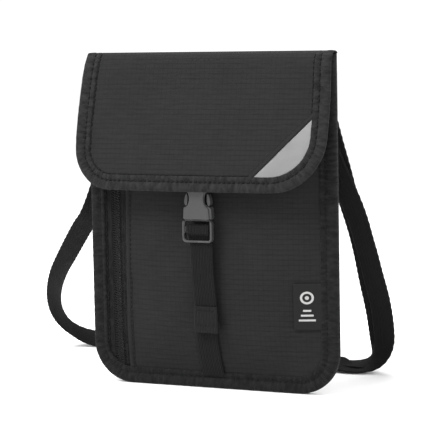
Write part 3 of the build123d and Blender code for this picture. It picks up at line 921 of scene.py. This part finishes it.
def make_flap_binding():
    path = resample(flap_outline(0), 1.3)
    into = -inward(path)
    section = np.array(FLAP_BIND_SECTION)
    along = distances(path)
    rows = []
    for (x, s), (mx, ms), at in zip(path, into, along):
        insets = section[:, 0]
        heights = section[:, 1] * (0.25 + 0.75 * ramp(s, 5, 20))
        for k, inset in enumerate(insets):
            layer = 7.0 if section[k, 1] > -0.5 else 9.0
            slant = Vector(((at - inset * 1.3) / 2.6, inset / 9.0, layer))
            crease = 0.75 * noise.noise(slant) + 0.25 * noise.noise(slant * 2.1)
            heights[k] += (crease if 0.5 < inset < 9.7 else 0.3 * crease) * float(ramp(s, 2, 14))
        rows.append(on_chart(flap_chart, x + mx * insets, np.maximum(s + ms * insets, 0.05), heights))
    rows = np.array(rows)
    across = distances(section)
    binding = swept_band("flap_bias_binding", rows, "flap", TAPE_BINDING, along, across)
    outward_faces(binding)
    thicken(binding, 0.4, offset=-1.0)
    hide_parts("flap_binding")
    middle = path + into * 6.4
    chart_stitches("flap_binding_stitches", middle[6:-6], flap_chart, 0.25, "flap", DARK_THREAD,
                   length=2.1, gap=0.9, radius=0.42, sink=0.0)
    # The seam line here is no seam: a near-continuous row of long dark stitches just inside the
    # binding, a painted shadow along the gap between binding and panel.
    seam = (path + into * (BIND_WIDTH + 0.35))[6:-6]
    under_patch = np.flatnonzero((seam[:, 0] > 35.5) & (seam[:, 1] > s_of_z(163.5)))
    for label, run in (("left", seam[:under_patch[0]]), ("right", seam[under_patch[-1] + 1:])):
        chart_stitches(f"flap_binding_inner_shadow_line_{label}", run, flap_chart, 0.12, "flap", DARK_THREAD,
                       length=3.4, gap=0.2, radius=0.34)


def make_patch():
    """The reflective corner and the folded seam along its long edge."""
    high, low = (HALF_W - BIND_WIDTH + 1.4, s_of_z(162.8)), (36.6, s_of_z(127.6))
    inner = resample(flap_outline(BIND_WIDTH - 1.5), 1.0)
    keep = (inner[:, 0] > low[0]) & (inner[:, 1] > high[1])
    outline = np.vstack([[low], inner[keep], [high]])

    def crumple(x, s):
        points = on_plane(x, s)
        return 0.18 * fractal(points, 12, 44) + 0.10 * fractal(points * [1, 1, 0.4], 5, 45)

    patch = cloth("reflective_corner_patch", outline, flap_chart, "flap", PATCH, offset=0.35,
                  thick=0.4, spacing=1.6, relief=crumple)
    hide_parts("reflective_patch")
    length = math.dist(high, low)
    direction = (np.array(high) - low) / length
    side = np.array([direction[1], -direction[0]])
    section = np.array([(-0.5, 0.0), (-0.55, 0.55), (-0.1, 0.95), (0.7, 1.0), (1.4, 0.75), (2.0, 0.4),
                        (2.1, 0.0)])
    rows, along = [], np.linspace(-1.5, length + 1.5, 60)
    for t in along:
        a, b = (np.array(low) + direction * t + side * section[:, :1]).T
        rows.append(on_chart(flap_chart, a, b, section[:, 1]))
    seam = swept_band("patch_seam_fold", rows, "flap", FLAP_CLOTH, along,
                      section[:, 0], closed_section=True)
    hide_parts("patch_piping")


def make_fold():
    """The cloth that runs from the back over the fold, on both sides of it."""
    for name, material, slot, lift, x_in in (("fold_outer_cloth", FLAP_CLOTH, "flap_cloth", 0.2, 0.7),
                                             ("fold_inner_cloth", LINING, "lining", -1.25, 9.0)):
        back = BACK_Y + lift
        line = [(back + 0.25, 184.0), (back + 0.3, 190.0), (back + 0.35, 195.0),
                (3.15 + lift * 0.6, 197.8), (2.6 + lift * 0.2, 199.0 + lift * 0.4),
                (0.9, 199.5 + lift * 0.8)]
        if lift < 0:
            line = line[1:]
        line = resample(np.array(line), 0.6)
        xs = np.linspace(-HALF_W + x_in, HALF_W - x_in, 60)
        rows = [[(x, y, z) for y, z in line] for x in xs]
        along = distances(line)
        piece = swept_band(name, rows, None, material, xs, along)
        thicken(piece, 0.35)
        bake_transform(piece)


# ---- label ----
def label_material():
    """Black satin tape with a plain generic motif: a ring and three bars in off-white."""
    m = Nodes("label_satin", (0.0055, 0.0055, 0.0056), 0.6, 0.15)
    uv = m.place("UV")
    parts = m.node("ShaderNodeSeparateXYZ")
    m.link(uv, parts.inputs[0])
    across, up = parts.outputs[0], parts.outputs[1]

    def bar(value, centre, half):
        away = m.math("ABSOLUTE", m.math("SUBTRACT", value, centre * MM))
        return m.math("LESS_THAN", away, half * MM)

    middle = 62.4
    dx, dz = m.math("SUBTRACT", across, middle * MM), m.math("SUBTRACT", up, 57.6 * MM)
    radius = m.math("SQRT", m.math("ADD", m.math("MULTIPLY", dx, dx), m.math("MULTIPLY", dz, dz)))
    marks = m.math("MAXIMUM", bar(radius, 3.1, 0.6), m.math("LESS_THAN", radius, 1.1 * MM))
    for centre_up, half_across in ((44.5, 4.6), (47.3, 3.4), (50.1, 2.2)):
        mark = m.math("MULTIPLY", bar(up, centre_up, 0.55), bar(across, middle, half_across))
        marks = m.math("MAXIMUM", marks, mark)
    weave = m.wave(uv, bands(0.3), "Y", 0.3)
    m.two_colors(m.math("MULTIPLY", marks, m.spread(weave, 0.82, 1.0)), m.color, (0.34, 0.34, 0.335))
    m.bump((marks, 0.3, 0.12), (weave, 0.4, 0.05))
    return m.material


def make_label():
    low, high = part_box("side_label")
    x0, x1 = low.x / MM, high.x / MM + 1.2
    z0, z1 = low.z / MM, high.z / MM
    outline = np.array([(x0, z0), (x1, z0), (x1, z1), (x0, z1)])

    def lift(x, z):
        curl = 0.5 * (1 - ramp(x, x0, x0 + 5)) + 0.25 * ramp(z, z1 - 3, z1)
        return curl + 0.08 * fractal(on_plane(x, z), 6, 50)

    label = cloth("side_label_satin", outline, front_chart, "pouch_body", label_material(),
                  offset=0.75, thick=0.5, spacing=1.0, relief=lift)
    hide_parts("side_label")


# ---- webbing on the front ----
def side_line(points, step=1.0):
    """A smooth line in the (y, z) plane through rough points, as 3-D points on the strap's centre."""
    line, _ = spline_points([(STRAP_X, y, z) for y, z in points], step * MM)
    return line / MM


ACROSS_X = [1.0, 0.0, 0.0]


def make_front_straps():
    heights = [9.4, 12, 16, 22, 30, 40, 50, 60, 68]
    leg = [(-float(front_depth(np.array(STRAP_X), np.array(z))) - 0.95, z) for z in heights]
    leg = [(-2.6, 7.5)] + leg + [(-17.3, 76), (-17.45, 82), (-17.45, 99.4)]
    piece = ribbon("front_strap_webbing", side_line(leg), ACROSS_X, FRONT_WEB, WEB_THICK, "pouch_body",
                   STRAP_CLOTH)
    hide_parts("front_strap")
    tail = [(-18.75, 99.0), (-20.0, 99.75), (-21.5, 99.5), (-22.2, 98.4), (-22.35, 97.0), (-22.1, 95.5),
            (-21.2, 94.7), (-20.0, 94.2), (-19.2, 93.0), (-19.1, 90), (-19.2, 84), (-19.25, 78),
            (-18.4, 68), (-17.35, 60), (-16.6, 50), (-16.3, 37.2)]
    line = side_line(tail)
    line[:, 0] += 1.2 * (1 - ramp(line[:, 2], 84, 95)) + 0.9 * (1 - ramp(line[:, 2], 40, 70))
    piece = ribbon("front_strap_tail_webbing", line, ACROSS_X, FRONT_WEB, WEB_THICK, "buckle_plug",
                   STRAP_CLOTH)
    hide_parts("front_strap_tail")
    hem = [(-17.9, 51.5), (-17.75, 44), (-17.4, 37.0), (-16.5, 35.9), (-15.5, 36.6), (-15.25, 42)]
    line = side_line(hem, 0.6)
    line[:, 0] += 2.1
    ribbon("front_strap_tail_hem", line, ACROSS_X, FRONT_WEB + 1.0, 1.1, "buckle_plug", HEM_CLOTH)
    for name, z in (("hem_stitches_upper", 49.3), ("hem_stitches_lower", 40.5)):
        y = np.interp(z, [37, 44, 51.5], [-18.1, -18.4, -18.6])
        row = [(x, y, z) for x in np.linspace(STRAP_X - 4.8, STRAP_X + 8.9, 16)]
        stitches(name, row, [0.0, -1.0, 0.0], "buckle_plug", DARK_THREAD, slot="webbing", length=1.9,
                 gap=0.6, radius=0.26)


def make_tether():
    loop = [(-16.7, 150), (-19.6, 140), (-21.6, 132), (-22.0, 126), (-21.7, 123.2), (-20.6, 121.4),
            (-19.4, 121.2), (-18.2, 122.6), (-17.8, 127), (-18.2, 135), (-16.8, 143), (-15.2, 150)]
    piece = ribbon("buckle_tether_webbing", side_line(loop, 0.7), ACROSS_X, FRONT_WEB, 1.15, "flap",
                   STRAP_CLOTH)
    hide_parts("buckle_tether")


# ---- buckle ----
def softened(node, name, body, material, width):
    """A copy of a CAD part with its edges rounded over."""
    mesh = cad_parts[node].data.copy()
    mesh.materials.clear()
    mesh.materials.append(material)
    piece = bpy.data.objects.new(name, mesh)
    scene.collection.objects.link(piece)
    weld = piece.modifiers.new("weld", "WELD")
    weld.merge_threshold = 1e-5
    planar = piece.modifiers.new("planar", "DECIMATE")
    planar.decimate_type = "DISSOLVE"
    planar.angle_limit = math.radians(2)
    add_bevel(piece, width, 32)
    piece.modifiers.new("triangles", "TRIANGULATE")
    finished(apply_modifiers(piece), body)
    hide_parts(node)
    return piece


def add_bevel(piece, width, least_angle):
    bevel = piece.modifiers.new("round", "BEVEL")
    bevel.width, bevel.segments = width * MM, 3
    bevel.limit_method, bevel.angle_limit = "ANGLE", math.radians(least_angle)


def finished(piece, body):
    piece.data.polygons.foreach_set("use_smooth", [True] * len(piece.data.polygons))
    piece.modifiers.new("normals", "WEIGHTED_NORMAL").keep_sharp = True
    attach(piece, body)
    return piece


def smooth_loop(points):
    """A closed outline with its corners cut off."""
    points = np.array(points, float)
    after = np.roll(points, -1, axis=0)
    return np.stack([points * 0.75 + after * 0.25, points * 0.25 + after * 0.75], 1).reshape(-1, 2)


def extruded(name, outline, front, back):
    """A solid of an (x, z) outline between two y."""
    n = len(outline)
    verts = [(STRAP_X + x, y, z) for y in (front, back) for x, z in outline]
    faces = [tuple(range(n)), tuple(range(n, 2 * n))[::-1]]
    faces += [(i, i + n, (i + 1) % n + n, (i + 1) % n) for i in range(n)]
    return outward_faces(new_object(name, verts, faces, None, BUCKLE))


def rounded(piece, width):
    add_bevel(piece, width, 40)
    return apply_modifiers(piece)


def moulding(name, plates, cuts, body):
    """A moulded buckle piece: plates (outline, front, back, edge rounding) made one, less its cuts."""
    whole = None
    for outline, front, back, edge in plates:
        plate = rounded(extruded(name, outline, front, back), edge)
        whole = combined(whole, plate, "UNION") if whole else plate
    for outline, front, back in cuts:
        whole = combined(whole, extruded(name, outline, front, back), "DIFFERENCE")
    whole.name = name
    return finished(whole, body)


def combined(whole, other, operation):
    step = whole.modifiers.new("combine", "BOOLEAN")
    step.operation, step.solver, step.object = operation, "EXACT", other
    apply_modifiers(whole)
    mesh = other.data
    bpy.data.objects.remove(other)
    bpy.data.meshes.remove(mesh)
    return whole


def rounded_box(half, low, high, radius):
    """The outline of a box centred on the strap, with round corners."""
    x, r = half - radius, radius
    corners = ((x, low + r, 270), (x, high - r, 0), (-x, high - r, 90), (-x, low + r, 180))
    return [tuple(p) for cx, cz, start in corners for p in arc(cx, cz, r, start, start + 90, 6)]


def two_sided(half):
    """A whole outline from its right half, read from the bottom to the top."""
    return [(x, z) for x, z in half] + [(-x, z) for x, z in half[::-1]]


def make_buckle():
    # Socket: a body with a narrower raised face, and a round bite on each side for the prongs.
    bite = [(8.5, 110.2), (6.9, 111.0), (5.7, 112.4), (5.1, 114.3), (5.2, 116.4), (5.9, 118.3),
            (7.1, 119.6), (8.4, 120.0)]
    body = [(9.2, 103.1), (9.15, 106), (8.95, 109.2)] + bite + [(8.6, 121), (8.6, 124.9)]
    face = [(8.2, 103.05), (8.05, 106), (7.7, 109.4), (6.7, 110.4), (5.45, 111.8), (4.6, 114.0),
            (4.6, 116.6), (5.2, 118.7), (6.3, 120.3), (7.2, 124.6)]
    rear = [(x - 0.9, z) for x, z in body]
    socket = moulding("buckle_socket_shell",
                      [(two_sided(rear), -19.8, -15.8, 0.7), (two_sided(body), -22.3, -18.6, 0.9),
                       (two_sided(face), -23.7, -19.0, 0.8)],
                      [(rounded_box(7.9, 101, 120.0, 0.5), -21.85, -17.6),
                       (rounded_box(7.6, 120.6, 122.4, 0.8), -30, -10),
                       (rounded_box(7.6, 121.6, 128, 0.3), -30, -21.3),
                       (rounded_box(7.6, 121.6, 128, 0.3), -18.8, -10)],
                      "flap")
    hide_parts("buckle_female")
    tongue = [(-2.3, 101.5), (2.3, 101.5), (2.1, 112.4), (1.2, 113), (-1.2, 113), (-2.1, 112.4)]
    frame_x = -0.55

    def beside(outline):
        return [(x + frame_x, z) for x, z in outline]

    plug = moulding("buckle_plug_frame",
                    [(beside(rounded_box(9.5, 89.4, 102.9, 2.4)), -21.9, -18.3, 0.6),
                     (tongue, -20.4, -18.7, 0.3)],
                    [(beside(rounded_box(8.4, 90.7, 95.9, 1.4)), -30, -10),
                     (beside(rounded_box(8.4, 98.4, 101.9, 1.0)), -30, -10),
                     (beside(rounded_box(8.4, 94, 104.0, 0.9)), -30, -20.5),
                     (rounded_box(8.0, 88, 100.2, 0.3), -19.5, -10)],
                    "buckle_plug")
    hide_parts("buckle_male")
    arm = [(3.6, 102.4), (5.9, 102.6), (6.4, 106), (6.9, 108.6), (7.3, 110.4), (6.2, 112.4),
           (4.6, 110)]
    shoulder = [(6.6, 111.2), (7.4, 111.0), (8.1, 111.6), (8.35, 113.2), (8.1, 115.4), (7.4, 117.6),
                (6.7, 118.3), (6.2, 117.0), (6.1, 114.0)]
    for side, body in ((-1, "prong_left"), (1, "prong_right")):
        plates = [([(side * x, z) for x, z in arm], -21.0, -18.3, 0.3),
                  (smooth_loop([(side * x, z) for x, z in shoulder]), -21.7, -18.2, 0.7)]
        prong = moulding("buckle_" + body + "_arm", plates, [], body)
        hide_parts("buckle_" + body)
    make_adjuster()
    softened("zipper_slider", "zipper_slider_cast", "slider", ZIP_PAINT, 0.25)
    softened("zipper_pull", "zipper_pull_cast", "pull", ZIP_PAINT, 0.25)


def make_adjuster():
    """The tri-glide, lying on the webbing, and the fold of webbing over its middle bar."""
    frame_piece = softened("strap_adjuster", "strap_adjuster_frame", "adjuster", BUCKLE, 0.4)
    lowered = 2.6              # from above the round CAD cord to just above the flat webbing
    for vertex in frame_piece.data.vertices:
        vertex.co.z -= lowered * MM
    low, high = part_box("strap_adjuster")
    x, y = (low.x + high.x) / 2 / MM, (low.y + high.y) / 2 / MM
    hump = [(x - 7.4, y, 2.8), (x - 5.2, y, 3.15), (x - 3.4, y, 4.5), (x - 2.0, y, 6.0), (x, y, 6.5),
            (x + 2.0, y, 6.0), (x + 3.4, y, 4.5), (x + 5.2, y, 3.15), (x + 7.4, y, 2.8)]
    line, _ = spline_points(hump, 0.0006)
    ribbon("strap_adjuster_weave", line / MM, [0.0, 1.0, 0.0], WEB_WIDTH - 0.6, 1.1, "adjuster",
           STRAP_CLOTH)


# ---- neck strap ----
def turned_sides(points, route):
    """The webbing's side vectors along a line, from the turns given with its route."""
    places = np.array([r[:3] for r in route], float)
    nearest = [int(np.argmin(np.linalg.norm(points - place, axis=1))) for place in places]
    nearest = np.maximum.accumulate(nearest)
    turn = np.radians(np.interp(np.arange(len(points)), nearest, [r[3] for r in route]))
    kernel = np.hanning(15)[1:-1]
    turn = np.convolve(np.pad(turn, 6, mode="edge"), kernel / kernel.sum(), mode="valid")
    ahead = unit(np.gradient(points, axis=0))
    flat = unit(np.cross(ahead, TO_CAMERA))
    deep = np.cross(ahead, flat)
    return flat * np.cos(turn)[:, None] + deep * np.sin(turn)[:, None]


def above_floor(points, sides, half_width, clearance=0.8):
    """Lifts a strap's centre line where its lower edge would go through the floor."""
    need = np.maximum(0, clearance - (points[:, 2] - np.abs(sides[:, 2]) * half_width))
    spread = np.array([need[max(0, i - 4):i + 5].max() for i in range(len(need))])
    kernel = np.hanning(11)[1:-1]
    spread = np.convolve(np.pad(spread, 4, mode="edge"), kernel / kernel.sum(), mode="valid")
    lifted = points.copy()
    lifted[:, 2] += spread
    return lifted


def make_neck_strap():
    for node, route in (("neck_strap", MAIN_ROUTE), ("neck_strap_return", RETURN_ROUTE)):
        points, along = spline_points(route, 0.0011)
        points = points / MM
        sides = turned_sides(points, route)
        held = (ramp(points[:, 2], 146, 166) * (points[:, 1] < 20))[:, None]
        sides = unit(sides * (1 - held) + [1, 0, 0] * np.sign(sides[:, :1]) * held)
        points = above_floor(points, sides, WEB_WIDTH / 2)
        piece = ribbon(node + "_webbing", points, sides, WEB_WIDTH, WEB_THICK, "pouch_body", NECK_CLOTH,
                       selvedge=0.35)
        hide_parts(node)


def make_tabs():
    for node in ("strap_tab_left", "strap_tab_right"):
        low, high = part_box(node)
        x = (low.x + high.x) / 2 / MM
        front, back = BACK_Y + 0.9, high.y / MM - 0.6
        loop = [(front, 193.5), (front, 188), (front, 181), (front + 0.5, 177.6),
                ((front + back) / 2, 176.4), (back - 0.5, 177.6), (back, 180.5), (back - 0.7, 184),
                (front + 1.7, 188), (front + 1.35, 193)]
        line, _ = spline_points([(x, y, z) for y, z in loop], 0.0008)
        piece = ribbon(node + "_webbing", line / MM, ACROSS_X, WEB_WIDTH, 1.2, "pouch_body",
                       STRAP_CLOTH)
        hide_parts(node)


# ---- build everything ----
make_neck_strap()
make_tabs()
make_front()
make_back()
make_divider()
make_body_binding()
make_mouth_binding()
make_zip()
make_flap()
make_fold()
make_label()
make_front_straps()
make_tether()
make_buckle()


# ---- stage: pale floor and soft light ----
def area_light(name, place, aim, size, power):
    data = bpy.data.lights.new(name, "AREA")
    data.shape, data.size, data.energy = "DISK", size, power
    lamp = bpy.data.objects.new(name, data)
    scene.collection.objects.link(lamp)
    lamp.location = place
    lamp.rotation_mode = "QUATERNION"
    lamp.rotation_quaternion = (Vector(aim) - Vector(place)).to_track_quat("-Z", "Y")


def make_stage():
    mesh = bpy.data.meshes.new("floor")
    reach = 6.0
    corners = [(x * reach, y * reach, 0) for x, y in ((-1, -1), (1, -1), (1, 1), (-1, 1))]
    mesh.from_pydata(corners, [], [(0, 1, 2, 3)])
    floor = bpy.data.objects.new("floor", mesh)
    scene.collection.objects.link(floor)
    m = Nodes("pale_floor", (0.92, 0.92, 0.92), 0.8, 0.1)
    mesh.materials.append(m.material)
    world = bpy.data.worlds.new("studio")
    world.use_nodes = True
    sky = world.node_tree.nodes["Background"].inputs
    sky["Color"].default_value, sky["Strength"].default_value = (1, 1, 1, 1), 1.1
    scene.world = world
    area_light("key", (-0.45, -0.9, 1.25), (0, 0, 0.1), 0.7, 26)
    area_light("fill", (1.1, -0.9, 0.6), (0, 0, 0.1), 1.0, 6)
    area_light("top", (0.0, 0.25, 1.4), (0, 0, 0.1), 1.0, 9)


make_stage()
scene.view_settings.view_transform = "Standard"
